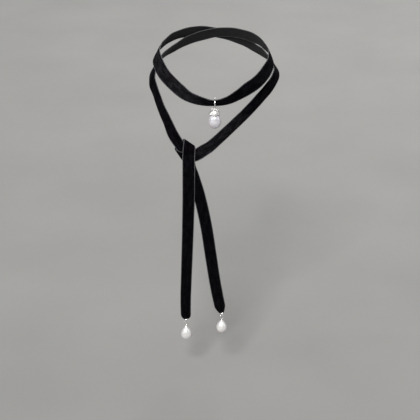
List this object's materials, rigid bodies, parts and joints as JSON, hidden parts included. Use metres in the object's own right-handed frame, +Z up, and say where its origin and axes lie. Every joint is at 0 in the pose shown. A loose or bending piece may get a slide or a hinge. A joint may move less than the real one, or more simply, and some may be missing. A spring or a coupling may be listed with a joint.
{
  "type": "ribbon choker with drop pearls",
  "caption": "Wrap choker of one long velvet ribbon crossed at the nape and half-knotted at the front, with drop pearls on jump rings at its middle and its tail tips.",
  "frame": {"origin": "the middle of the loop that goes round the neck, on the neck's axis", "axes": "+Z up and along the hanging tails, -Y towards the wearer's front, +X to the right as seen from the front"},
  "size_m": [0.1353, 0.1508, 0.2967],
  "materials": {
    "velvet": "matte cut pile",
    "silver": "polished",
    "nacre": "pearly gloss"
  },
  "bodies": {
    "ribbon": {"ribbon_left_strand": "velvet", "ribbon_left_wrap": "velvet", "ribbon_front_band": "velvet", "ribbon_right_wrap": "velvet", "ribbon_right_strand": "velvet", "ribbon_knot_wrap": "velvet", "ribbon_knot_top": "velvet"},
    "front_tail": {"front_tail": "velvet"},
    "right_tail": {"right_tail": "velvet"},
    "centre_ring": {"centre_jump_ring": "silver"},
    "centre_drop": {"centre_petal_cap": "silver", "centre_eye_peg": "silver", "centre_pearl": "nacre"},
    "front_ring": {"front_tail_jump_ring": "silver"},
    "front_drop": {"front_tail_eye_peg": "silver", "front_tail_pearl": "nacre"},
    "right_ring": {"right_tail_jump_ring": "silver"},
    "right_drop": {"right_tail_eye_peg": "silver", "right_tail_pearl": "nacre"}
  },
  "joints": [
    {"name": "front_tail_lift", "type": "hinge", "parent": "ribbon", "child": "front_tail", "pos_m": [-0.02475, -0.07097, -0.06603], "axis": [-0.9848, 0.1736, 0], "range_deg": [0, 50]},
    {"name": "right_tail_sway", "type": "hinge", "parent": "ribbon", "child": "right_tail", "pos_m": [-0.01793, -0.0742, -0.08205], "axis": [-0.1632, -0.9254, 0.342], "range_deg": [0, 20]},
    {"name": "centre_ring_swing", "type": "hinge", "parent": "ribbon", "child": "centre_ring", "pos_m": [0.0007, -0.0543, -0.02315], "axis": [-1, 0, 0], "range_deg": [-8, 50]},
    {"name": "centre_drop_swing", "type": "hinge", "parent": "centre_ring", "child": "centre_drop", "pos_m": [0.0007, -0.0543, -0.02835], "axis": [0, 1, 0], "range_deg": [-16, 40]},
    {"name": "front_ring_swing", "type": "hinge", "parent": "front_tail", "child": "front_ring", "pos_m": [-0.0287, -0.0832, -0.25145], "axis": [-1, 0, 0], "range_deg": [-45, 45]},
    {"name": "front_drop_swing", "type": "hinge", "parent": "front_ring", "child": "front_drop", "pos_m": [-0.0287, -0.0832, -0.2543], "axis": [0, 1, 0], "range_deg": [-45, 45]},
    {"name": "right_ring_swing", "type": "hinge", "parent": "right_tail", "child": "right_ring", "pos_m": [0.0081, -0.083, -0.24425], "axis": [-1, 0, 0], "range_deg": [-45, 45]},
    {"name": "right_drop_swing", "type": "hinge", "parent": "right_ring", "child": "right_drop", "pos_m": [0.0081, -0.083, -0.2471], "axis": [0, 1, 0], "range_deg": [-45, 45]}
  ]
}
